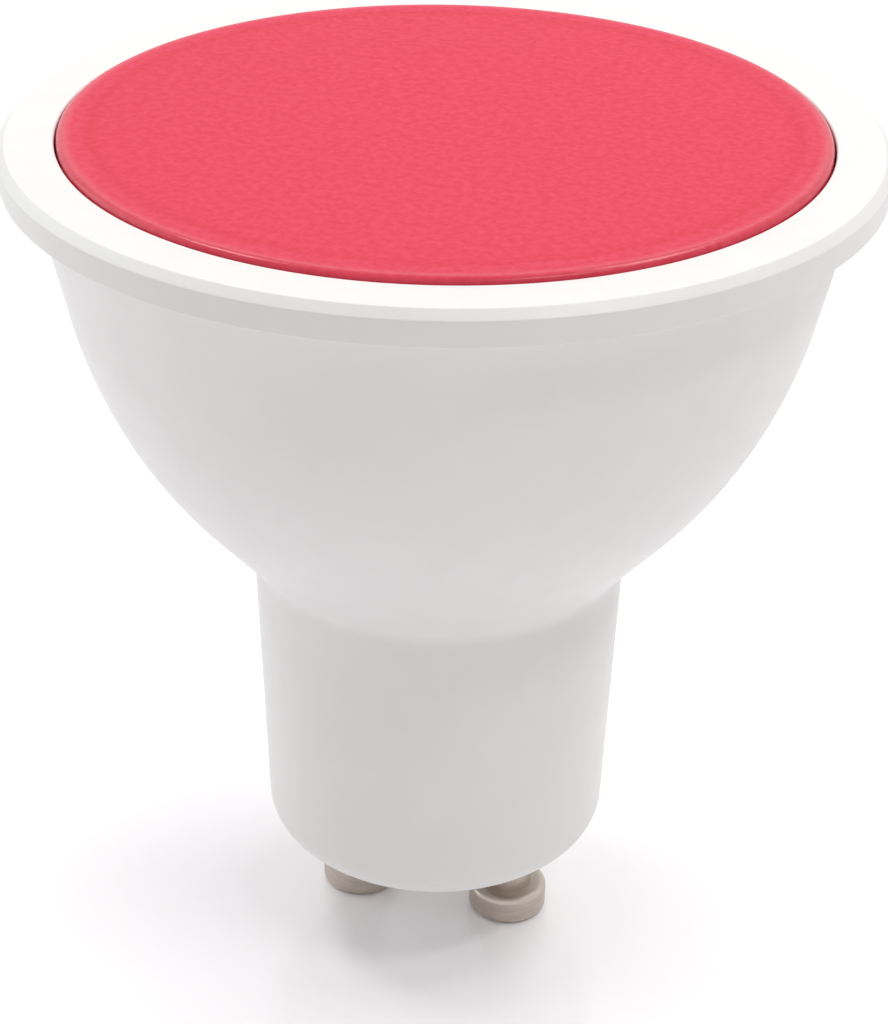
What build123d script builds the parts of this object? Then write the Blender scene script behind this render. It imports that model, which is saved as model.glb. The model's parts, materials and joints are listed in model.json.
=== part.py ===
from build123d import *
import os
from itertools import pairwise
from math import sqrt

# LED spotlight lamp with a twist-lock base, standing on its two contact pins with the lens up.
# Millimetres. The axis of the lamp is Z, the pins stand on the plane z = 0 and lie along X.

# Housing, outside
flange_diameter = 50.0
flange_overhang = 1.75
flange_height = 1.95
flange_taper_height = 1.2
flange_draft = 0.05
flange_chamfer = 0.48
flange_edge_radius = 0.12
flange_lip_radius = 0.08
flange_root_radius = 0.4
body_height = 46.45
bowl_shoulder_diameter = 40.1
bowl_shoulder_height = 29.8
bowl_shoulder_radius = 29.0
neck_top_diameter = 22.6
neck_base_diameter = 21.1
neck_height = 19.7
neck_fillet_radius = 1.8
base_edge_radius = 2.2

# Housing, inside
wall = 2.0
base_thickness = 2.6
ledge_width = 0.7
seat_chamfer = 0.06
boss_diameter = 4.8
boss_height = 1.5
rail_wall = 0.9
rail_height = 13.0
rail_root = 1.0
slot_depth = 0.8

# Front lens
lens_thickness = 1.7
lens_proud = 0.28
lens_edge_radius = 0.4
lens_clearance = 0.12
skirt_height = 2.0
skirt_thickness = 1.0
bead_height = 0.2
bead_width = 0.5
bead_margin = 0.15

# Contact pins
pin_spacing = 10.0
pin_projection = 6.7
pin_head_diameter = 5.0
pin_head_height = 2.0
pin_head_radius = 0.45
pin_stem_diameter = 3.0
pin_spigot_diameter = 2.4
pin_rivet_diameter = 3.6
pin_rivet_height = 0.5
pin_recess_depth = 0.8
pin_clearance = 0.05
wire_socket_depth = 1.5

# Heat sink cup, light board and its diodes
cup_thickness = 1.0
cup_depth = 7.0
cup_bend_radius = 0.6
cup_clearance = 0.1
led_board_thickness = 1.0
led_board_clearance = 0.2
led_count = 8
led_edge_margin = 6.0
led_length = 3.5
led_width = 2.8
led_height = 0.75
led_corner_radius = 0.3
led_window_diameter = 2.2
led_window_depth = 0.2
screw_spacing = 16.0
screw_diameter = 1.9
screw_length = 4.5
screw_head_diameter = 3.8
screw_head_height = 1.4
screw_head_radius = 0.7
screw_slot_width = 0.6
screw_slot_depth = 0.6
screw_slot_length = 1.9
screw_clearance = 0.05

# Driver board
board_offset = 3.0
board_thickness = 1.2
board_clearance = 0.1
board_edge_clearance = 0.3
board_headroom = 1.7
board_margin = 1.0
row_gap = 0.8

# Driver parts
can_diameter = 6.3
can_length = 11.0
can_edge_radius = 0.6
can_groove_depth = 0.3
can_groove_height = 0.8
can_groove_level = 1.4
core_diameter = 6.0
core_height = 8.0
core_flange_height = 1.4
core_waist_diameter = 2.6
winding_diameter = 5.2
winding_clearance = 0.05
lead_diameter = 0.6
lead_spacing = 2.5
lead_drop = 1.4
lead_bend = 0.7
part_gap = 0.1
fuse_diameter = 2.2
fuse_length = 5.6
fuse_edge_radius = 0.4
film_width = 6.5
film_height = 6.5
film_thickness = 3.0
film_edge_radius = 0.5
bridge_width = 3.8
bridge_length = 4.0
bridge_height = 1.6
bridge_tab_count = 2
chip_width = 3.9
chip_length = 4.9
chip_height = 1.5
chip_tab_count = 4
diode_width = 2.6
diode_length = 4.3
diode_height = 2.0
diode_tab_count = 1
tab_thickness = 0.25
tab_length = 0.9
tab_width = 0.5
resistor_width = 1.6
resistor_length = 3.2
resistor_height = 0.6

# Wires
wire_diameter = 1.0
wire_clearance = 0.05
wire_bend = 1.6
wire_pad_height = 2.2
wire_tail = 2.4
wire_stand_off = 1.9
wire_hole_clearance = 0.7

# Heights from the plane that the pins stand on
base_level = pin_projection
pin_shoulder = base_level + pin_recess_depth
floor_level = base_level + base_thickness
boss_level = floor_level + boss_height
pin_top = boss_level + pin_rivet_height
board_bottom = pin_top + board_headroom
neck_level = base_level + neck_height
shoulder_level = base_level + bowl_shoulder_height
rim_level = base_level + body_height
flange_level = rim_level - flange_height
lens_top = rim_level + lens_proud
lens_seat = lens_top - lens_thickness
ledge_level = lens_seat - cup_thickness
cup_floor = lens_seat - cup_depth
led_board_top = cup_floor + led_board_thickness

# Corners of the half section, from the base up: radius and height
flange_radius = flange_diameter / 2
bowl_corners = [
    (neck_base_diameter / 2, base_level),
    (neck_top_diameter / 2, neck_level),
    (bowl_shoulder_diameter / 2, shoulder_level),
    (flange_radius - flange_overhang, flange_level),
]


def inset_runs(distance):
    """The straight runs of the half section, each moved in by a distance: a point and a direction."""
    runs = []
    for start, end in pairwise(bowl_corners):
        along = (Vector(*end) - Vector(*start)).normalized()
        inward = Vector(-along.Y, along.X)
        runs.append((Vector(*start) + inward * distance, along))
    return runs


def crossing(first, second):
    """The point where two runs meet."""
    (start, along), (other, other_along) = first, second
    gap = other - start
    reach = gap.cross(other_along).Z / along.cross(other_along).Z
    return start + along * reach


def radius_on(run, level):
    """The radius that a run has at a height."""
    start, along = run
    return start.X + along.X * (level - start.Y) / along.Y


def bowl_section(distance, low, high):
    """Half section of the bowl and neck inset by a distance, between two heights."""
    neck_run, flare_run, bowl_run = inset_runs(distance)
    with BuildSketch(Plane.XZ) as section:
        with BuildLine():
            FilletPolyline(
                (0, base_level),
                (radius_on(neck_run, base_level), base_level),
                crossing(neck_run, flare_run),
                crossing(flare_run, bowl_run),
                (radius_on(bowl_run, lens_top), lens_top),
                (0, lens_top),
                radius=[0, 0, neck_fillet_radius + distance, bowl_shoulder_radius - distance, 0, 0],
                close=True,
            )
        make_face()
        with Locations((0, low)):
            Rectangle(flange_diameter, high - low, align=(Align.CENTER, Align.MIN), mode=Mode.INTERSECT)
    return section.sketch


def wire_along(points, diameter, bend):
    """A round wire along straight runs that are joined by equal bends."""
    with BuildPart() as wire:
        with BuildLine() as route:
            FilletPolyline(*points, radius=bend)
        with BuildSketch(Plane(origin=route.line @ 0, z_dir=route.line % 0)):
            Circle(diameter / 2)
        sweep()
    return wire.part


def upright_plane(x, y, level):
    """A plane for half sections about an upright axis at x, y, with its origin at a height."""
    return Plane(origin=(x, y, level), x_dir=(1, 0, 0), z_dir=(0, -1, 0))


def flat_package(x, level, width, length, height, tabs, plane, side):
    """A moulded package flat on a board, with metal tabs along its two sides."""
    with BuildPart() as package:
        with BuildSketch(plane):
            with Locations((x, level)):
                Rectangle(width, length)
        extrude(amount=side * height)
        with BuildSketch(plane):
            with Locations((x, level)):
                with GridLocations(0, length / tabs, 1, tabs):
                    Rectangle(width + 2 * tab_length, tab_width)
        extrude(amount=side * tab_thickness)
    return package.part


def finish(part, name):
    """Names a finished piece and writes it out."""
    part.label = name
    export_step(part, f"parts/{name}.step")


os.makedirs("parts", exist_ok=True)

# Sizes that follow from the ones above
bowl_inside = inset_runs(wall)[2]
neck_inside = inset_runs(wall)[0]
cup_outside = wall + cup_clearance
cup_inside_run = inset_runs(cup_outside + cup_thickness)[2]
seat_radius = radius_on(bowl_inside, ledge_level) + ledge_width
lens_radius = seat_radius - lens_clearance
skirt_radius = radius_on(cup_inside_run, lens_seat - skirt_height) - lens_clearance
bead_low = lens_seat + bead_margin
bead_middle = bead_low + bead_width / 2
bead_high = bead_low + bead_width
led_board_radius = radius_on(cup_inside_run, cup_floor) - cup_bend_radius - led_board_clearance
led_circle_radius = led_board_radius - led_edge_margin

board_back = board_offset + board_thickness
board_middle = board_offset + board_thickness / 2
neck_inside_radius = min(radius_on(neck_inside, board_bottom), radius_on(neck_inside, neck_level))
board_half_width = sqrt(neck_inside_radius**2 - board_back**2) - board_edge_clearance
rail_width = board_thickness + 2 * (board_clearance + rail_wall)
front_face = Plane.XZ.offset(board_offset)
back_face = Plane.XZ.offset(board_back)

bridge_level = board_bottom + board_margin + bridge_length / 2
chip_level = bridge_level + bridge_length / 2 + row_gap + chip_length / 2
film_level = chip_level + chip_length / 2 + row_gap + film_height / 2
wire_level = board_bottom + wire_pad_height
fuse_level = wire_level + wire_diameter / 2 + row_gap + fuse_diameter / 2
lead_level = fuse_level + fuse_diameter / 2 + row_gap + lead_diameter / 2
can_level = lead_level + lead_drop
diode_level = can_level + core_height + row_gap + diode_width / 2
board_top = board_margin + max(
    film_level + film_height / 2,
    can_level + can_length,
    diode_level + diode_width / 2,
)
led_wire_x = film_width / 2 + row_gap + wire_diameter / 2
led_wire_y = -board_back - wire_stand_off

# Housing: one moulding with rim, bowl, neck and base, open at the front
with BuildPart() as board_rails:
    with BuildSketch(Plane.XY.offset(floor_level)):
        with Locations((0, -board_middle)):
            Rectangle(neck_top_diameter, rail_width)
            Rectangle(2 * (board_half_width - slot_depth), rail_width, mode=Mode.SUBTRACT)
    extrude(amount=rail_height)
    rail_limit = bowl_section(wall - rail_root, floor_level, floor_level + rail_height)
    revolve(rail_limit, axis=Axis.Z, mode=Mode.INTERSECT)
    with BuildSketch(Plane.XY.offset(board_bottom)):
        with Locations((0, -board_middle)):
            Rectangle(2 * (board_half_width + board_clearance), board_thickness + 2 * board_clearance)
    extrude(amount=rail_height, mode=Mode.SUBTRACT)

with BuildPart() as housing:
    with BuildSketch(Plane.XZ):
        with BuildLine():
            FilletPolyline(
                (0, base_level),
                *bowl_corners,
                (flange_radius - flange_draft, flange_level),
                (flange_radius, flange_level + flange_taper_height),
                (flange_radius, rim_level - flange_chamfer),
                (flange_radius - flange_chamfer, rim_level),
                (0, rim_level),
                radius=[
                    0,
                    base_edge_radius,
                    neck_fillet_radius,
                    bowl_shoulder_radius,
                    flange_root_radius,
                    flange_lip_radius,
                    0,
                    flange_edge_radius,
                    flange_edge_radius,
                    0,
                ],
                close=True,
            )
        make_face()
    revolve(axis=Axis.Z)
    revolve(bowl_section(wall, floor_level, ledge_level), axis=Axis.Z, mode=Mode.SUBTRACT)
    with BuildSketch(Plane.XZ):
        with BuildLine():
            Polyline(
                (0, ledge_level),
                (seat_radius, ledge_level),
                (seat_radius, bead_low),
                (seat_radius + bead_height, bead_middle),
                (seat_radius, bead_high),
                (seat_radius, rim_level - seat_chamfer),
                (seat_radius + seat_chamfer, rim_level),
                (0, rim_level),
                close=True,
            )
        make_face()
    revolve(axis=Axis.Z, mode=Mode.SUBTRACT)
    add(board_rails.part)
    with BuildSketch(Plane.XY.offset(floor_level)):
        with GridLocations(pin_spacing, 0, 2, 1):
            Circle(boss_diameter / 2)
    extrude(amount=boss_height)
    with BuildSketch(Plane.XY.offset(base_level)):
        with GridLocations(pin_spacing, 0, 2, 1):
            Circle(pin_spigot_diameter / 2 + pin_clearance)
    extrude(amount=base_thickness + boss_height, mode=Mode.SUBTRACT)
    with BuildSketch(Plane.XY.offset(base_level)):
        with GridLocations(pin_spacing, 0, 2, 1):
            Circle(pin_stem_diameter / 2 + pin_clearance)
    extrude(amount=pin_recess_depth, mode=Mode.SUBTRACT)
finish(housing.part, "housing")

# Front lens: a flat disc with a rounded edge, a snap bead and a short skirt inside the cup
with BuildPart() as front_lens:
    with BuildSketch(Plane.XZ):
        with BuildLine():
            FilletPolyline(
                (0, lens_seat),
                (skirt_radius - skirt_thickness, lens_seat),
                (skirt_radius - skirt_thickness, lens_seat - skirt_height),
                (skirt_radius, lens_seat - skirt_height),
                (skirt_radius, lens_seat),
                (lens_radius, lens_seat),
                (lens_radius, bead_low),
                (lens_radius + bead_height, bead_middle),
                (lens_radius, bead_high),
                (lens_radius, lens_top),
                (0, lens_top),
                radius=[0] * 9 + [min(lens_edge_radius, lens_top - bead_high), 0],
                close=True,
            )
        make_face()
    revolve(axis=Axis.Z)
finish(front_lens.part, "front_lens")

# Contact pins: a wide head, a stem with its shoulder in a recess of the base, a spigot riveted over its boss
for name, x in (("contact_pin_left", -pin_spacing / 2), ("contact_pin_right", pin_spacing / 2)):
    with BuildPart() as contact_pin:
        with BuildSketch(upright_plane(x, 0, 0)):
            with BuildLine():
                FilletPolyline(
                    (0, 0),
                    (pin_head_diameter / 2, 0),
                    (pin_head_diameter / 2, pin_head_height),
                    (pin_stem_diameter / 2, pin_head_height),
                    (pin_stem_diameter / 2, pin_shoulder),
                    (pin_spigot_diameter / 2, pin_shoulder),
                    (pin_spigot_diameter / 2, boss_level),
                    (pin_rivet_diameter / 2, boss_level),
                    (pin_rivet_diameter / 2, pin_top),
                    (0, pin_top),
                    radius=[0, pin_head_radius, pin_head_radius] + [0] * 7,
                    close=True,
                )
            make_face()
        revolve(axis=Axis((x, 0, 0), (0, 0, 1)))
        with BuildSketch(Plane.XY.offset(pin_top)):
            with Locations((x, 0)):
                Circle(wire_diameter / 2 + wire_clearance)
        extrude(amount=-wire_socket_depth, mode=Mode.SUBTRACT)
    finish(contact_pin.part, name)

# Heat sink cup: lines the bowl, hangs by its lip on the ledge of the housing
with BuildPart() as cup_space:
    revolve(bowl_section(cup_outside + cup_thickness, cup_floor, lens_seat), axis=Axis.Z)
    fillet(cup_space.edges().group_by(Axis.Z)[0], cup_bend_radius)

with BuildPart() as heat_sink_cup:
    revolve(bowl_section(cup_outside, cup_floor - cup_thickness, ledge_level), axis=Axis.Z)
    fillet(heat_sink_cup.edges().group_by(Axis.Z)[0], cup_bend_radius + cup_thickness)
    with BuildSketch(Plane.XY.offset(ledge_level)):
        Circle(seat_radius - cup_clearance)
    extrude(amount=cup_thickness)
    add(cup_space.part, mode=Mode.SUBTRACT)
    with BuildSketch(Plane.XY.offset(cup_floor)):
        with GridLocations(screw_spacing, 0, 2, 1):
            Circle(screw_diameter / 2 + screw_clearance)
        with Locations((0, led_wire_y)):
            with GridLocations(2 * led_wire_x, 0, 2, 1):
                Circle(wire_diameter / 2 + wire_hole_clearance)
    extrude(amount=-cup_thickness, mode=Mode.SUBTRACT)
finish(heat_sink_cup.part, "heat_sink_cup")

# Light board: a metal-core disc flat on the floor of the cup
with BuildPart() as led_board:
    with BuildSketch(Plane.XY.offset(cup_floor)):
        Circle(led_board_radius)
        with GridLocations(screw_spacing, 0, 2, 1):
            Circle(screw_diameter / 2 + screw_clearance, mode=Mode.SUBTRACT)
        with Locations((0, led_wire_y)):
            with GridLocations(2 * led_wire_x, 0, 2, 1):
                Circle(wire_diameter / 2 + wire_hole_clearance, mode=Mode.SUBTRACT)
    extrude(amount=led_board_thickness)
finish(led_board.part, "led_board")

# Light-emitting diodes on a ring, turned half a step so that none stands in line with a screw
led_step = 360 / led_count
for number in range(led_count):
    place = PolarLocations(led_circle_radius, 1, start_angle=(number + 0.5) * led_step)
    with BuildPart() as led:
        with BuildSketch(Plane.XY.offset(led_board_top)):
            with place:
                RectangleRounded(led_length, led_width, led_corner_radius)
        extrude(amount=led_height)
        with BuildSketch(Plane.XY.offset(led_board_top + led_height)):
            with place:
                Circle(led_window_diameter / 2)
        extrude(amount=-led_window_depth, mode=Mode.SUBTRACT)
    finish(led.part, f"led_{number + 1}")

# Screws that hold the light board to the cup
with BuildPart() as board_screws:
    with BuildSketch(Plane.XY.offset(led_board_top)):
        with GridLocations(screw_spacing, 0, 2, 1):
            Circle(screw_head_diameter / 2)
    extrude(amount=screw_head_height)
    fillet(board_screws.edges().group_by(Axis.Z)[-1], screw_head_radius)
    with BuildSketch(Plane.XY.offset(led_board_top + screw_head_height)):
        with GridLocations(screw_spacing, 0, 2, 1):
            Rectangle(screw_slot_length, screw_slot_width)
            Rectangle(screw_slot_width, screw_slot_length)
    extrude(amount=-screw_slot_depth, mode=Mode.SUBTRACT)
    with BuildSketch(Plane.XY.offset(led_board_top)):
        with GridLocations(screw_spacing, 0, 2, 1):
            Circle(screw_diameter / 2)
    extrude(amount=-screw_length)
finish(board_screws.part, "board_screws")

# Driver board: stands in the two rails of the neck
with BuildPart() as driver_board:
    with BuildSketch(front_face):
        with Locations((0, board_bottom)):
            Rectangle(2 * board_half_width, board_top - board_bottom, align=(Align.CENTER, Align.MIN))
    extrude(amount=board_thickness)
finish(driver_board.part, "driver_board")


def board_leads(x, y):
    """Two leads that drop from a standing part at x, y and bend into the front of the board."""
    leads = []
    for lead_x in (x - lead_spacing / 2, x + lead_spacing / 2):
        drop = [(lead_x, y, can_level), (lead_x, y, lead_level), (lead_x, -board_offset, lead_level)]
        leads.append(wire_along(drop, lead_diameter, lead_bend))
    return leads


# Smoothing capacitor: a can with a crimp groove, along the board
can_x = -(row_gap + can_diameter) / 2
can_y = -board_offset + part_gap + can_diameter / 2
with BuildPart() as smoothing_capacitor:
    with BuildSketch(upright_plane(can_x, can_y, can_level)):
        with BuildLine():
            FilletPolyline(
                (0, 0),
                (can_diameter / 2, 0),
                (can_diameter / 2, can_groove_level),
                (can_diameter / 2 - can_groove_depth, can_groove_level + can_groove_height / 2),
                (can_diameter / 2, can_groove_level + can_groove_height),
                (can_diameter / 2, can_length),
                (0, can_length),
                radius=[0, can_edge_radius, 0, 0, 0, can_edge_radius, 0],
                close=True,
            )
        make_face()
    revolve(axis=Axis((can_x, can_y, 0), (0, 0, 1)))
    add(board_leads(can_x, can_y))
finish(smoothing_capacitor.part, "smoothing_capacitor")

# Inductor: a ferrite drum with its winding round the waist
core_x = (row_gap + core_diameter) / 2
core_y = -board_offset + part_gap + core_diameter / 2
with BuildPart() as inductor_core:
    with BuildSketch(Plane.XY.offset(can_level)):
        with Locations((core_x, core_y)):
            Circle(core_diameter / 2)
    extrude(amount=core_height)
    with BuildSketch(Plane.XY.offset(can_level + core_flange_height)):
        with Locations((core_x, core_y)):
            Circle(core_diameter / 2)
            Circle(core_waist_diameter / 2, mode=Mode.SUBTRACT)
    extrude(amount=core_height - 2 * core_flange_height, mode=Mode.SUBTRACT)
    add(board_leads(core_x, core_y))
finish(inductor_core.part, "inductor_core")

with BuildPart() as inductor_winding:
    with BuildSketch(Plane.XY.offset(can_level + core_flange_height + winding_clearance)):
        with Locations((core_x, core_y)):
            Circle(winding_diameter / 2)
            Circle(core_waist_diameter / 2 + winding_clearance, mode=Mode.SUBTRACT)
    extrude(amount=core_height - 2 * (core_flange_height + winding_clearance))
finish(inductor_winding.part, "inductor_winding")

# Fuse resistor: a rounded body across the board on two bent leads
fuse_y = -board_offset + part_gap + fuse_diameter / 2
with BuildPart() as fuse_resistor:
    with BuildSketch(Plane.YZ.offset(-fuse_length / 2)):
        with Locations((fuse_y, fuse_level)):
            Circle(fuse_diameter / 2)
    extrude(amount=fuse_length)
    fillet(fuse_resistor.edges().filter_by(GeomType.CIRCLE), fuse_edge_radius)
    for side in (-1, 1):
        body_end = side * fuse_length / 2
        lead_end = body_end + side * (lead_bend + lead_diameter / 2)
        bent = [
            (body_end, fuse_y, fuse_level),
            (lead_end, fuse_y, fuse_level),
            (lead_end, -board_offset, fuse_level),
        ]
        add(wire_along(bent, lead_diameter, lead_bend))
finish(fuse_resistor.part, "fuse_resistor")

# Input capacitor: a film box on the back of the board
with BuildPart() as input_capacitor:
    with BuildSketch(back_face):
        with Locations((0, film_level)):
            RectangleRounded(film_width, film_height, film_edge_radius)
    extrude(amount=film_thickness)
    fillet(input_capacitor.faces().sort_by(Axis.Y)[0].edges(), film_edge_radius)
finish(input_capacitor.part, "input_capacitor")

# Flat packages: rectifier and controller on the back of the board, diode on its front
bridge_rectifier = flat_package(
    0, bridge_level, bridge_width, bridge_length, bridge_height, bridge_tab_count, back_face, 1
)
finish(bridge_rectifier, "bridge_rectifier")
driver_chip = flat_package(0, chip_level, chip_width, chip_length, chip_height, chip_tab_count, back_face, 1)
finish(driver_chip, "driver_chip")
output_diode = flat_package(
    core_x, diode_level, diode_length, diode_width, diode_height, diode_tab_count, front_face, -1
)
finish(output_diode, "output_diode")

# Current-sense resistors, one each side of the rectifier
resistor_x = bridge_width / 2 + tab_length + row_gap + resistor_width / 2
for name, x in (("sense_resistor_left", -resistor_x), ("sense_resistor_right", resistor_x)):
    with BuildPart() as sense_resistor:
        with BuildSketch(back_face):
            with Locations((x, bridge_level)):
                Rectangle(resistor_width, resistor_length)
        extrude(amount=resistor_height)
    finish(sense_resistor.part, name)

# Mains wires: from the socket of each pin up and into the front of the driver board
socket_level = pin_top - wire_socket_depth
for name, x in (("live_wire", -pin_spacing / 2), ("neutral_wire", pin_spacing / 2)):
    route = [(x, 0, socket_level), (x, 0, wire_level), (x, -board_offset, wire_level)]
    finish(wire_along(route, wire_diameter, wire_bend), name)

# Light board wires: out of the back of the driver board, up through the cup and flat on the light board
led_wire_level = board_top - board_margin - wire_diameter / 2
tail_level = led_board_top + wire_diameter / 2 + wire_clearance
for name, side in (("led_wire_plus", -1), ("led_wire_minus", 1)):
    x = side * led_wire_x
    route = [
        (x, -board_back, led_wire_level),
        (x, led_wire_y, led_wire_level),
        (x, led_wire_y, tail_level),
        (x + side * wire_tail, led_wire_y, tail_level),
    ]
    finish(wire_along(route, wire_diameter, wire_bend), name)
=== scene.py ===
import json
import math

import bmesh
import bpy
from mathutils import Matrix, Vector


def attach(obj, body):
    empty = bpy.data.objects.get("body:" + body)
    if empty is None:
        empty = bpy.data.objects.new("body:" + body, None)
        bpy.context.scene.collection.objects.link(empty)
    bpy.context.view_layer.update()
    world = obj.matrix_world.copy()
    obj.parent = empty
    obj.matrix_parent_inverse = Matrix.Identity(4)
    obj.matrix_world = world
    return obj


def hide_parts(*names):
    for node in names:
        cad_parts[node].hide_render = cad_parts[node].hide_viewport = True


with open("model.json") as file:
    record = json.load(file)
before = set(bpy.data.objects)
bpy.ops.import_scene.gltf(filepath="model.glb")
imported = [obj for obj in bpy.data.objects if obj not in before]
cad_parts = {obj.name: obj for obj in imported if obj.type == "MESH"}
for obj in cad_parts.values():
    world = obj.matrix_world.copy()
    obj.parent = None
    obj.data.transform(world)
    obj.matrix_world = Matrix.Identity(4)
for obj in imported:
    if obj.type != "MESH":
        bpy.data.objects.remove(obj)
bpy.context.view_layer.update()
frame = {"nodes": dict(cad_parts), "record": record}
nodes = frame["nodes"]

# Housing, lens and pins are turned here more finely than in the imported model, with the same sections.
# Their sizes are in millimetres, as in the part's source. The scene is in metres.
MM = 0.001

# Housing: levels above the plane that the pins stand on
BASE = 6.7
BASE_FLOOR = 9.3
NECK = 26.4
SHOULDER = 36.5
FLANGE = 51.2
RIM = 53.15

# Housing: radii at these levels, wall, edges and seat of the lens
NECK_BASE_R = 10.55
NECK_TOP_R = 11.3
SHOULDER_R = 20.05
BOWL_TOP_R = 23.25
FLANGE_R = 25.0
WALL = 2.0
BASE_EDGE = 2.2
NECK_FILLET = 1.8
SHOULDER_ARC = 29.0
FLANGE_ROOT = 0.4
FLANGE_LIP = 0.08
FLANGE_DRAFT = 0.05
FLANGE_TAPER = 1.2
RIM_CHAMFER = 0.48
RIM_EDGE = 0.12
SEAT_CHAMFER = 0.06
LEDGE_WIDTH = 0.7

# Heat sink cup, whose lip lies between ledge and lens
CUP_CLEARANCE = 0.1
CUP_THICKNESS = 1.0

# Front lens
LENS_TOP = 53.43
LENS_THICKNESS = 1.7
LENS_GAP = 0.12
LENS_EDGE = 0.4
SKIRT_HEIGHT = 2.0
SKIRT_THICKNESS = 1.0
BEAD_MARGIN = 0.15
BEAD_WIDTH = 0.5
BEAD_HEIGHT = 0.2

# Contact pins, and the bosses that they are riveted over
PIN_X = 5.0
PIN_HEAD_R = 2.5
PIN_HEAD_TOP = 2.0
PIN_HEAD_EDGE = 0.45
PIN_STEM_R = 1.5
PIN_SHOULDER = 7.5
PIN_SPIGOT_R = 1.2
PIN_RIVET_R = 1.8
PIN_TOP = 11.3
PIN_CLEARANCE = 0.05
SOCKET_R = 0.55
SOCKET_DEPTH = 1.5
BOSS_R = 2.4
BOSS_TOP = 10.8

# Rails in the neck, and the slots in them that hold the driver board
RAIL_IN = 6.62
RAIL_OUT = 9.6
RAIL_BACK = -5.2
RAIL_FRONT = -2.0
RAIL_TOP = 22.3
SLOT_IN = 5.0
SLOT_OUT = 7.52
SLOT_BACK = -4.3
SLOT_FRONT = -2.9
SLOT_BOTTOM = 13.0

# Fineness of the turned meshes, and the angle at which an edge is sharp
TURN_SEGMENTS = 288
PIN_SEGMENTS = 96
HOLE_SEGMENTS = 48
RAIL_STEPS = 8
ARC_LEAST = 4
ARC_STEP = math.radians(7)
ARC_CHORD = 0.35
LONGEST_RUN = 1.6
SHARP = math.radians(38)

# Distance of a support from the end of its run, and the shortest run with supports, in such distances
SUPPORT = 0.12
PIN_SUPPORT = 0.06
SHORT_RUN = 3

# Reach of a boss or rail into the floor of the base, and of a cut past its end
SUNK = 0.5
PAST_END = 1.0

# What counts as on the axis, in millimetres, and as one spot, in metres
ON_AXIS = 1e-6
SAME_SPOT = 1e-8


# Sections

def rounded(corners):
    """A closed polyline through corners (r, z, radius), in which each corner with a radius is an arc."""
    points = []
    for i, (r, z, radius) in enumerate(corners):
        here = Vector((r, z))
        if radius <= 0:
            points.append(here)
            continue
        back = (Vector(corners[i - 1][:2]) - here).normalized()
        ahead = (Vector(corners[(i + 1) % len(corners)][:2]) - here).normalized()
        half = back.angle(ahead) / 2
        centre = here + (back + ahead).normalized() * (radius / math.sin(half))
        spoke = here + back * (radius / math.tan(half)) - centre
        turn = math.pi - 2 * half
        side = 1 if back.cross(ahead) < 0 else -1
        count = max(ARC_LEAST, math.ceil(turn / ARC_STEP), math.ceil(turn * radius / ARC_CHORD))
        for k in range(count + 1):
            angle = side * turn * k / count
            cosine = math.cos(angle)
            sine = math.sin(angle)
            turned_spoke = (cosine * spoke.x - sine * spoke.y, sine * spoke.x + cosine * spoke.y)
            points.append(centre + Vector(turned_spoke))
    return points


def with_supports(points, near=SUPPORT):
    """The polyline with points added close to the ends of its long runs, so that flat runs shade flat."""
    dense = []
    for here, ahead in zip(points, points[1:] + points[:1]):
        dense.append(here)
        run = (ahead - here).length
        if run < SHORT_RUN * near:
            continue
        pieces = max(1, math.ceil((run - 2 * near) / LONGEST_RUN))
        for k in range(pieces + 1):
            at = near + (run - 2 * near) * k / pieces
            dense.append(here.lerp(ahead, at / run))
    return dense


def inset_lines(corners, distance):
    """The straight lines between corners, moved inwards: each is a point and a direction."""
    lines = []
    for (r0, z0), (r1, z1) in zip(corners, corners[1:]):
        along = Vector((r1 - r0, z1 - z0)).normalized()
        inwards = Vector((-along.y, along.x))
        lines.append((Vector((r0, z0)) + inwards * distance, along))
    return lines


def meet(first, second):
    """Where two lines cross."""
    (a, u), (b, v) = first, second
    return a + u * ((b - a).cross(v) / u.cross(v))


def radius_at(line, z):
    """The radius of a line at a height."""
    a, u = line
    return a.x + u.x * (z - a.y) / u.y


# Meshes

def mesh_object(name, verts, faces):
    """A new object in the scene, with a mesh of its own."""
    mesh = bpy.data.meshes.new(name)
    mesh.from_pydata(verts, [], faces)
    mesh.validate()
    obj = bpy.data.objects.new(name, mesh)
    bpy.context.scene.collection.objects.link(obj)
    return obj


def turned(name, points, segments, x=0.0):
    """An object turned about an upright axis at x from a closed half section."""
    verts = []
    rings = []
    for point in points:
        start = len(verts)
        if point.x < ON_AXIS:
            rings.append([start] * segments)
            verts.append((x * MM, 0, point.y * MM))
            continue
        rings.append(list(range(start, start + segments)))
        for k in range(segments):
            angle = 2 * math.pi * k / segments
            across = x + point.x * math.cos(angle)
            verts.append((across * MM, point.x * math.sin(angle) * MM, point.y * MM))
    faces = []
    for low, high in zip(rings, rings[1:] + rings[:1]):
        if low[0] == low[1] and high[0] == high[1]:
            continue
        for k in range(segments):
            j = (k + 1) % segments
            faces.append(list(dict.fromkeys((low[k], low[j], high[j], high[k]))))
    return mesh_object(name, verts, faces)


def prism(name, outline, low, high):
    """A temporary upright prism over an outline in plan."""
    count = len(outline)
    verts = [(x * MM, y * MM, z * MM) for z in (low, high) for x, y in outline]
    bottom = list(range(count))[::-1]
    top = list(range(count, 2 * count))
    faces = [bottom, top]
    for k in range(count):
        j = (k + 1) % count
        faces.append([k, j, count + j, count + k])
    return mesh_object(name, verts, faces)


def circle_outline(x, radius):
    """Plan of a round boss or hole at x."""
    angles = [2 * math.pi * k / HOLE_SEGMENTS for k in range(HOLE_SEGMENTS)]
    return [(x + radius * math.cos(angle), radius * math.sin(angle)) for angle in angles]


def on_side(side, plan):
    """A plan drawn for the right side, mirrored where the side is the left."""
    return [(side * x, y) for x, y in plan][::side]


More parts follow.
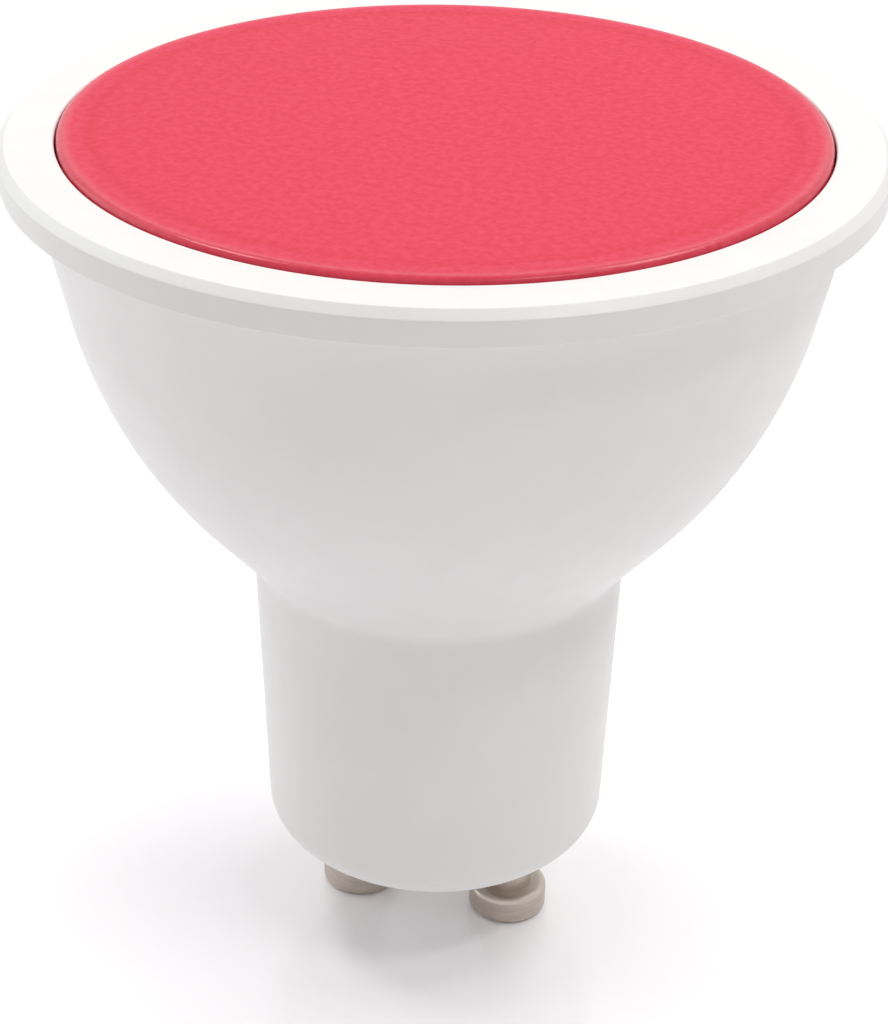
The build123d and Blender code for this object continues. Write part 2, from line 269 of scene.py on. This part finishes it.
def rail_plan():
    """Plan of the right rail, from its inner face into the neck's wall."""
    first = math.asin(RAIL_BACK / RAIL_OUT)
    last = math.asin(RAIL_FRONT / RAIL_OUT)
    arc = [first + (last - first) * k / RAIL_STEPS for k in range(RAIL_STEPS + 1)]
    outer = [(RAIL_OUT * math.cos(angle), RAIL_OUT * math.sin(angle)) for angle in arc]
    return [(RAIL_IN, RAIL_BACK), *outer, (RAIL_IN, RAIL_FRONT)]


def slot_plan():
    """Plan of the slot in the right rail."""
    return [(SLOT_IN, SLOT_BACK), (SLOT_OUT, SLOT_BACK), (SLOT_OUT, SLOT_FRONT), (SLOT_IN, SLOT_FRONT)]


def combine(target, tool, operation):
    """Adds or cuts a temporary object into the target's own mesh, and deletes it."""
    step = target.modifiers.new("step", "BOOLEAN")
    step.operation = operation
    step.object = tool
    step.solver = "EXACT"
    ready = target.evaluated_get(bpy.context.evaluated_depsgraph_get())
    old_mesh = target.data
    target.data = bpy.data.meshes.new_from_object(ready)
    target.modifiers.clear()
    bpy.data.meshes.remove(old_mesh)
    tool_mesh = tool.data
    bpy.data.objects.remove(tool)
    bpy.data.meshes.remove(tool_mesh)


def smooth(obj):
    """Merges points on one spot, and shades smooth with sharp edges where faces meet at a steep angle."""
    edit = bmesh.new()
    edit.from_mesh(obj.data)
    bmesh.ops.remove_doubles(edit, verts=edit.verts, dist=SAME_SPOT)
    for face in edit.faces:
        face.smooth = True
    for edge in edit.edges:
        edge.smooth = len(edge.link_faces) == 2 and edge.calc_face_angle(0) < SHARP
    edit.to_mesh(obj.data)
    edit.free()
    obj.data.update()


# Lines and levels that housing and lens share

bowl = [(NECK_BASE_R, BASE), (NECK_TOP_R, NECK), (SHOULDER_R, SHOULDER), (BOWL_TOP_R, FLANGE)]
neck_line, flare_line, bowl_line = inset_lines(bowl, WALL)
neck_corner = meet(neck_line, flare_line)
shoulder_corner = meet(flare_line, bowl_line)
cup_line = inset_lines(bowl, WALL + CUP_CLEARANCE + CUP_THICKNESS)[-1]

LENS_SEAT = LENS_TOP - LENS_THICKNESS
LEDGE = LENS_SEAT - CUP_THICKNESS
LEDGE_R = radius_at(bowl_line, LEDGE)
SEAT_R = LEDGE_R + LEDGE_WIDTH
LENS_R = SEAT_R - LENS_GAP
SKIRT_END = LENS_SEAT - SKIRT_HEIGHT
SKIRT_R = radius_at(cup_line, SKIRT_END) - LENS_GAP
SKIRT_INNER_R = SKIRT_R - SKIRT_THICKNESS
BEAD_LOW = LENS_SEAT + BEAD_MARGIN
BEAD_MIDDLE = BEAD_LOW + BEAD_WIDTH / 2
BEAD_HIGH = BEAD_LOW + BEAD_WIDTH


# Node tools

NOISE_LOW = 0.3
NOISE_HIGH = 0.7
EVEN = (1, 1, 1)


def material(name):
    """A new node material, its tree and its main shader."""
    made = bpy.data.materials.new(name)
    made.use_nodes = True
    return made, made.node_tree, made.node_tree.nodes["Principled BSDF"]


def node(tree, kind, **values):
    """A new node with some of its properties set."""
    made = tree.nodes.new(kind)
    for key, value in values.items():
        setattr(made, key, value)
    return made


def noise(tree, scale, detail=3.0, rough=0.55, stretch=EVEN):
    """Noise in the part's own frame: scale is in cycles per metre."""
    place = node(tree, "ShaderNodeTexCoord")
    shape = node(tree, "ShaderNodeMapping")
    shape.inputs["Scale"].default_value = stretch
    made = node(tree, "ShaderNodeTexNoise")
    made.inputs["Scale"].default_value = scale
    made.inputs["Detail"].default_value = detail
    made.inputs["Roughness"].default_value = rough
    tree.links.new(place.outputs["Object"], shape.inputs["Vector"])
    tree.links.new(shape.outputs["Vector"], made.inputs["Vector"])
    return made.outputs["Fac"]


def ramp(tree, factor, stops):
    """A colour ramp over a factor: stops are (position, colour)."""
    made = node(tree, "ShaderNodeValToRGB")
    ramp_stops = made.color_ramp.elements
    while len(ramp_stops) < len(stops):
        ramp_stops.new(0.5)
    for stop, (position, colour) in zip(ramp_stops, stops):
        stop.position = position
        stop.color = (*colour, 1)
    tree.links.new(factor, made.inputs["Fac"])
    return made.outputs["Color"]


def spread(tree, factor, low, high, start=NOISE_LOW, end=NOISE_HIGH):
    """A factor mapped to a range of values."""
    made = node(tree, "ShaderNodeMapRange")
    made.inputs["From Min"].default_value = start
    made.inputs["From Max"].default_value = end
    made.inputs["To Min"].default_value = low
    made.inputs["To Max"].default_value = high
    tree.links.new(factor, made.inputs["Value"])
    return made.outputs["Result"]


def axis_distance(tree):
    """Distance from the lamp's axis, in metres."""
    place = node(tree, "ShaderNodeTexCoord")
    flat = node(tree, "ShaderNodeVectorMath", operation="MULTIPLY")
    flat.inputs[1].default_value = (1, 1, 0)
    radius = node(tree, "ShaderNodeVectorMath", operation="LENGTH")
    tree.links.new(place.outputs["Object"], flat.inputs[0])
    tree.links.new(flat.outputs["Vector"], radius.inputs[0])
    return radius.outputs["Value"]


# Materials, one for each slot of the record

GRAIN_DETAIL = 2.0
GRAIN_STRENGTH = 0.25
GRAIN_DEPTH = 0.00002
WINDING_DEPTH = 0.00005
ROUGH_SCALE = 2.3
ROUGH_SPREAD = 0.15
PIN_STRETCH = (1, 1, 8)
WINDING_STRETCH = (1, 1, 12)

# Painted light and shade on the lens: the paler pink band from 0.94 to 0.975 paints light shining through
# from the ledge behind. The darker line at 0.915 is painted shade, and the darker last stop paints shade on
# the rounded edge and side wall.
LENS_REDS_AND_PAINTED_LIGHT = (
    (0.0, (0.750, 0.068, 0.110)),
    (0.88, (0.750, 0.068, 0.110)),
    (0.915, (0.720, 0.059, 0.100)),
    (0.94, (0.752, 0.073, 0.127)),
    (0.975, (0.750, 0.070, 0.123)),
    (1.0, (0.690, 0.050, 0.090)),
)
LENS_SPECKLE = ((0.35, (0.93, 0.70, 0.73)), (0.65, (1.0, 1.0, 1.0)))
LENS_FROST = 2000.0
LENS_FROST_DETAIL = 3.0
LENS_FROST_ROUGH = 0.6
LENS_GRAIN = 9000.0
LENS_FACE_ROUGH = 0.68
LENS_EDGE_ROUGH = 0.2
LENS_EDGE_START = 0.96
LENS_EDGE_END = 0.985
LENS_SPECULAR = 0.25

# Sockets of a mix node that mixes colours
MIX_FIRST = 6
MIX_SECOND = 7
MIX_RESULT = 2

slots = {}


def shade(colour, factor):
    """A colour made darker or lighter."""
    return tuple(min(1.0, channel * factor) for channel in colour)


def grain_bump(tree, shader, height, depth=GRAIN_DEPTH):
    """Fine relief on a surface."""
    made = node(tree, "ShaderNodeBump")
    made.inputs["Strength"].default_value = GRAIN_STRENGTH
    made.inputs["Distance"].default_value = depth
    tree.links.new(height, made.inputs["Height"])
    tree.links.new(made.outputs["Normal"], shader.inputs["Normal"])


def add_surface(slot, colour, rough, metallic=0.0, vary=0.04, scale=900.0, grain=6000.0,
                depth=GRAIN_DEPTH, stretch=EVEN):
    """Fills a slot with a surface of cloudy colour, uneven gloss and a fine grain."""
    made, tree, shader = material(slot)
    clouds = noise(tree, scale, stretch=stretch)
    tint = ramp(tree, clouds, [(NOISE_LOW, shade(colour, 1 - vary)), (NOISE_HIGH, shade(colour, 1 + vary))])
    tree.links.new(tint, shader.inputs["Base Color"])
    patches = noise(tree, scale * ROUGH_SCALE, stretch=stretch)
    uneven = spread(tree, patches, rough * (1 - ROUGH_SPREAD), rough * (1 + ROUGH_SPREAD))
    tree.links.new(uneven, shader.inputs["Roughness"])
    shader.inputs["Metallic"].default_value = metallic
    grain_bump(tree, shader, noise(tree, grain, GRAIN_DETAIL, stretch=stretch), depth)
    slots[slot] = made


def add_lens(slot):
    """Red frosted diffuser with a smooth edge: a paler band of painted light where the ledge behind would
    shine through, a darker line of painted shade inside that band, and a darker edge of painted shade.
    """
    made, tree, shader = material(slot)
    share = spread(tree, axis_distance(tree), 0, 1, 0, LENS_R * MM)
    # This radial ramp paints light and shade near the lens edge. The speckle below is the frost's own
    # grain.
    red = ramp(tree, share, LENS_REDS_AND_PAINTED_LIGHT)
    frost = noise(tree, LENS_FROST, LENS_FROST_DETAIL, LENS_FROST_ROUGH)
    speckle = ramp(tree, frost, LENS_SPECKLE)
    tint = node(tree, "ShaderNodeMix", data_type="RGBA", blend_type="MULTIPLY")
    tint.inputs["Factor"].default_value = 1.0
    tree.links.new(red, tint.inputs[MIX_FIRST])
    tree.links.new(speckle, tint.inputs[MIX_SECOND])
    tree.links.new(tint.outputs[MIX_RESULT], shader.inputs["Base Color"])
    polish = spread(tree, share, LENS_FACE_ROUGH, LENS_EDGE_ROUGH, LENS_EDGE_START, LENS_EDGE_END)
    tree.links.new(polish, shader.inputs["Roughness"])
    shader.inputs["Specular IOR Level"].default_value = LENS_SPECULAR
    grain_bump(tree, shader, noise(tree, LENS_GRAIN, GRAIN_DETAIL))
    slots[slot] = made


add_surface("housing_white", (0.86, 0.86, 0.845), rough=0.42, vary=0.012, scale=260.0, grain=7000.0)
add_lens("lens_red")
add_surface("pin_nickel", (0.50, 0.44, 0.39), rough=0.34, metallic=1.0, vary=0.08,
            scale=700.0, grain=2500.0, stretch=PIN_STRETCH)
add_surface("cup_aluminium", (0.78, 0.78, 0.79), rough=0.34, metallic=1.0, vary=0.05,
            scale=500.0, grain=3000.0)
add_surface("board_white", (0.85, 0.86, 0.85), rough=0.40, vary=0.03)
add_surface("led_package", (0.84, 0.80, 0.66), rough=0.38)
add_surface("screw_steel", (0.60, 0.60, 0.61), rough=0.30, metallic=1.0, vary=0.06)
add_surface("board_green", (0.05, 0.22, 0.09), rough=0.36, vary=0.12)
add_surface("can_sleeve", (0.03, 0.03, 0.04), rough=0.28, vary=0.15)
add_surface("ferrite", (0.06, 0.06, 0.065), rough=0.62, vary=0.15)
add_surface("copper_wire", (0.70, 0.30, 0.13), rough=0.26, metallic=1.0, vary=0.12,
            scale=600.0, grain=3600.0, depth=WINDING_DEPTH, stretch=WINDING_STRETCH)
add_surface("fuse_coating", (0.12, 0.30, 0.20), rough=0.30, vary=0.08)
add_surface("film_coating", (0.60, 0.26, 0.04), rough=0.28, vary=0.08)
add_surface("package_black", (0.025, 0.025, 0.028), rough=0.55, vary=0.15)
add_surface("wire_brown", (0.16, 0.07, 0.03), rough=0.35, vary=0.08)
add_surface("wire_blue", (0.03, 0.12, 0.40), rough=0.35, vary=0.08)
add_surface("wire_red", (0.50, 0.03, 0.03), rough=0.35, vary=0.08)
add_surface("wire_black", (0.02, 0.02, 0.022), rough=0.35, vary=0.15)


# Pieces

replaced_nodes = set()


def piece(obj, replaced, slot):
    """Finishes a new piece: shading, material, and the node that it stands for."""
    smooth(obj)
    obj.data.materials.clear()
    obj.data.materials.append(slots[slot])
    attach(obj, "root")
    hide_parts(replaced)
    replaced_nodes.add(replaced)


# Housing: the turned shell, then rails, slots, bosses, bores and recesses on both sides

housing_section = rounded([
    (0, BASE, 0),
    (NECK_BASE_R, BASE, BASE_EDGE),
    (NECK_TOP_R, NECK, NECK_FILLET),
    (SHOULDER_R, SHOULDER, SHOULDER_ARC),
    (BOWL_TOP_R, FLANGE, FLANGE_ROOT),
    (FLANGE_R - FLANGE_DRAFT, FLANGE, FLANGE_LIP),
    (FLANGE_R, FLANGE + FLANGE_TAPER, 0),
    (FLANGE_R, RIM - RIM_CHAMFER, RIM_EDGE),
    (FLANGE_R - RIM_CHAMFER, RIM, RIM_EDGE),
    (SEAT_R + SEAT_CHAMFER, RIM, 0),
    (SEAT_R, RIM - SEAT_CHAMFER, 0),
    (SEAT_R, BEAD_HIGH, 0),
    (SEAT_R + BEAD_HEIGHT, BEAD_MIDDLE, 0),
    (SEAT_R, BEAD_LOW, 0),
    (SEAT_R, LEDGE, 0),
    (LEDGE_R, LEDGE, 0),
    (shoulder_corner.x, shoulder_corner.y, SHOULDER_ARC - WALL),
    (neck_corner.x, neck_corner.y, NECK_FILLET + WALL),
    (radius_at(neck_line, BASE_FLOOR), BASE_FLOOR, 0),
    (0, BASE_FLOOR, 0),
])
housing = turned("housing_body", with_supports(housing_section), TURN_SEGMENTS)
for side in (-1, 1):
    boss = circle_outline(side * PIN_X, BOSS_R)
    bore = circle_outline(side * PIN_X, PIN_SPIGOT_R + PIN_CLEARANCE)
    recess = circle_outline(side * PIN_X, PIN_STEM_R + PIN_CLEARANCE)
    rail = on_side(side, rail_plan())
    slot = on_side(side, slot_plan())
    combine(housing, prism("rail", rail, BASE_FLOOR - SUNK, RAIL_TOP), "UNION")
    combine(housing, prism("slot", slot, SLOT_BOTTOM, RAIL_TOP + PAST_END), "DIFFERENCE")
    combine(housing, prism("boss", boss, BASE_FLOOR - SUNK, BOSS_TOP), "UNION")
    combine(housing, prism("bore", bore, BASE - PAST_END, BOSS_TOP + PAST_END), "DIFFERENCE")
    combine(housing, prism("recess", recess, BASE - PAST_END, PIN_SHOULDER), "DIFFERENCE")
piece(housing, "housing", "housing_white")


# Front lens

lens_section = rounded([
    (0, LENS_SEAT, 0),
    (SKIRT_INNER_R, LENS_SEAT, 0),
    (SKIRT_INNER_R, SKIRT_END, 0),
    (SKIRT_R, SKIRT_END, 0),
    (SKIRT_R, LENS_SEAT, 0),
    (LENS_R, LENS_SEAT, 0),
    (LENS_R, BEAD_LOW, 0),
    (LENS_R + BEAD_HEIGHT, BEAD_MIDDLE, 0),
    (LENS_R, BEAD_HIGH, 0),
    (LENS_R, LENS_TOP, LENS_EDGE),
    (0, LENS_TOP, 0),
])
lens = turned("lens_disc", with_supports(lens_section), TURN_SEGMENTS)
piece(lens, "front_lens", "lens_red")


# Contact pins

pin_section = rounded([
    (0, 0, 0),
    (PIN_HEAD_R, 0, PIN_HEAD_EDGE),
    (PIN_HEAD_R, PIN_HEAD_TOP, PIN_HEAD_EDGE),
    (PIN_STEM_R, PIN_HEAD_TOP, 0),
    (PIN_STEM_R, PIN_SHOULDER, 0),
    (PIN_SPIGOT_R, PIN_SHOULDER, 0),
    (PIN_SPIGOT_R, BOSS_TOP, 0),
    (PIN_RIVET_R, BOSS_TOP, 0),
    (PIN_RIVET_R, PIN_TOP, 0),
    (SOCKET_R, PIN_TOP, 0),
    (SOCKET_R, PIN_TOP - SOCKET_DEPTH, 0),
    (0, PIN_TOP - SOCKET_DEPTH, 0),
])
for name, side in (("left", -1), ("right", 1)):
    pin = turned(f"pin_{name}", with_supports(pin_section, PIN_SUPPORT), PIN_SEGMENTS, side * PIN_X)
    piece(pin, f"contact_pin_{name}", "pin_nickel")


# Inner pieces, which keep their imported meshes

for row in frame["record"]["subparts"]:
    if row["node"] not in replaced_nodes:
        inner = nodes[row["node"]]
        inner.data.materials.clear()
        inner.data.materials.append(slots[row["material_slot"]])


# Camera, fitted to the ellipses of lens, rim and base in the photograph

CAMERA_LENS = 89.0256
CAMERA_REACH = 134.7135
CAMERA_HEIGHT = 103.128
CAMERA_TURN = 0.2792
CAMERA_PITCH = math.radians(28.996)
CAMERA_YAW = math.radians(0.1122)
CAMERA_ROLL = 0.0166
CLIP_NEAR = 0.01
CLIP_FAR = 10

view_turn = Matrix.Rotation(CAMERA_TURN, 3, "Z")


def camera_pose():
    """Place and direction of the camera, as a matrix."""
    flat = math.cos(CAMERA_PITCH)
    ahead = Vector((math.sin(CAMERA_YAW) * flat, math.cos(CAMERA_YAW) * flat, -math.sin(CAMERA_PITCH)))
    forward = view_turn @ ahead
    level = view_turn @ Vector((math.cos(CAMERA_YAW), -math.sin(CAMERA_YAW), 0))
    upward = level.cross(forward)
    cosine = math.cos(CAMERA_ROLL)
    sine = math.sin(CAMERA_ROLL)
    right = level * cosine + upward * sine
    up = upward * cosine - level * sine
    turn = Matrix((right, up, -forward)).transposed().to_4x4()
    spot = view_turn @ Vector((0, -CAMERA_REACH, CAMERA_HEIGHT)) * MM
    return Matrix.Translation(spot) @ turn


camera_data = bpy.data.cameras.new("camera")
camera_data.lens = CAMERA_LENS
camera_data.clip_start = CLIP_NEAR
camera_data.clip_end = CLIP_FAR
camera = bpy.data.objects.new("camera", camera_data)
bpy.context.scene.collection.objects.link(camera)
camera.matrix_world = camera_pose()
bpy.context.scene.camera = camera


# Floor: glossy white, glowing towards the white of the background, with the glow weaker close to the
# object, which paints shade around it

FLOOR_HALF = 1.5
FLOOR_CLOUDS = 12.0
FLOOR_TINTS = ((NOISE_LOW, (0.945, 0.928, 0.953)), (NOISE_HIGH, (0.958, 0.942, 0.965)))
FLOOR_ROUGH = 0.15
FLOOR_SPECULAR = 0.8
FLOOR_LIFT_NEAR_PAINTED_SHADE = 0.04
FLOOR_LIFT_FAR = 0.22
LIFT_START = 0.012
LIFT_END = 0.027
WHITE = (1, 1, 1, 1)


def view_rays(tree):
    """One where the ray comes from the camera, a reflection or a clear surface, and zero elsewhere."""
    path = node(tree, "ShaderNodeLightPath")
    total = path.outputs["Is Camera Ray"]
    for name in ("Is Glossy Ray", "Is Transmission Ray"):
        most = node(tree, "ShaderNodeMath", operation="MAXIMUM")
        tree.links.new(total, most.inputs[0])
        tree.links.new(path.outputs[name], most.inputs[1])
        total = most.outputs["Value"]
    return total


def floor_material():
    """Glossy white with faint clouds, and the lift: a glow that is weaker close to the object, which is
    painted shade around it.
    """
    made, tree, shader = material("floor")
    tint = ramp(tree, noise(tree, FLOOR_CLOUDS), FLOOR_TINTS)
    tree.links.new(tint, shader.inputs["Base Color"])
    shader.inputs["Roughness"].default_value = FLOOR_ROUGH
    shader.inputs["Specular IOR Level"].default_value = FLOOR_SPECULAR
    shader.inputs["Emission Color"].default_value = WHITE
    # Painted shade: the glow is weaker close to the axis, so the floor round the object reads darker.
    strength = spread(tree, axis_distance(tree), FLOOR_LIFT_NEAR_PAINTED_SHADE, FLOOR_LIFT_FAR, LIFT_START, LIFT_END)
    lift = node(tree, "ShaderNodeMath", operation="MULTIPLY")
    tree.links.new(strength, lift.inputs[0])
    tree.links.new(view_rays(tree), lift.inputs[1])
    tree.links.new(lift.outputs["Value"], shader.inputs["Emission Strength"])
    return made


floor_corners = [(x * FLOOR_HALF, y * FLOOR_HALF, 0) for x, y in ((-1, -1), (1, -1), (1, 1), (-1, 1))]
floor = mesh_object("floor", floor_corners, [(0, 1, 2, 3)])
floor.data.materials.append(floor_material())


# Background: white to the eye, and a weaker warm light on the surfaces

AMBIENT = 0.45
AMBIENT_COLOUR = (1, 0.99, 0.98, 1)
BACKGROUND = 1.0

world = bpy.data.worlds.new("studio")
bpy.context.scene.world = world
world.use_nodes = True
tree = world.node_tree
ambient = tree.nodes["Background"]
ambient.inputs["Color"].default_value = AMBIENT_COLOUR
ambient.inputs["Strength"].default_value = AMBIENT
white = node(tree, "ShaderNodeBackground")
white.inputs["Color"].default_value = WHITE
white.inputs["Strength"].default_value = BACKGROUND
mixed = node(tree, "ShaderNodeMixShader")
tree.links.new(view_rays(tree), mixed.inputs[0])
tree.links.new(ambient.outputs[0], mixed.inputs[1])
tree.links.new(white.outputs[0], mixed.inputs[2])
tree.links.new(mixed.outputs[0], tree.nodes["World Output"].inputs["Surface"])


# Lamps: name, place in a frame turned with the camera, size, power and colour, in metres and watts

LAMP_AIM = Vector((0, 0, 0.03))
LAMPS = (
    ("back", (0.0, 0.35, 0.45), (0.5, 0.5), 0.16, (1, 1, 1)),
    ("left", (-0.50, 0.15, 0.25), (0.4, 0.4), 0.58, (0.97, 0.985, 1)),
    ("right", (0.50, 0.15, 0.25), (0.4, 0.4), 0.08, (1, 0.975, 0.95)),
    ("left_high", (-0.225, 0.12, 0.45), (0.14, 0.10), 0.51, (1, 1, 1)),
    ("right_high", (0.21, 0.10, 0.44), (0.26, 0.10), 0.69, (1, 0.985, 0.97)),
    ("key", (0.175, -0.18, 0.435), (0.16, 0.05), 0.33, (1, 0.985, 0.97)),
)


def softbox(name, place, size, power, colour):
    """An oblong area lamp that looks at the object."""
    data = bpy.data.lights.new(name, "AREA")
    data.shape = "RECTANGLE"
    data.energy = power
    data.color = colour
    data.size, data.size_y = size
    lamp = bpy.data.objects.new(name, data)
    lamp.location = view_turn @ Vector(place)
    lamp.rotation_euler = (LAMP_AIM - lamp.location).to_track_quat("-Z", "Y").to_euler()
    bpy.context.scene.collection.objects.link(lamp)


for lamp_values in LAMPS:
    softbox(*lamp_values)

bpy.context.scene.view_settings.view_transform = "Standard"
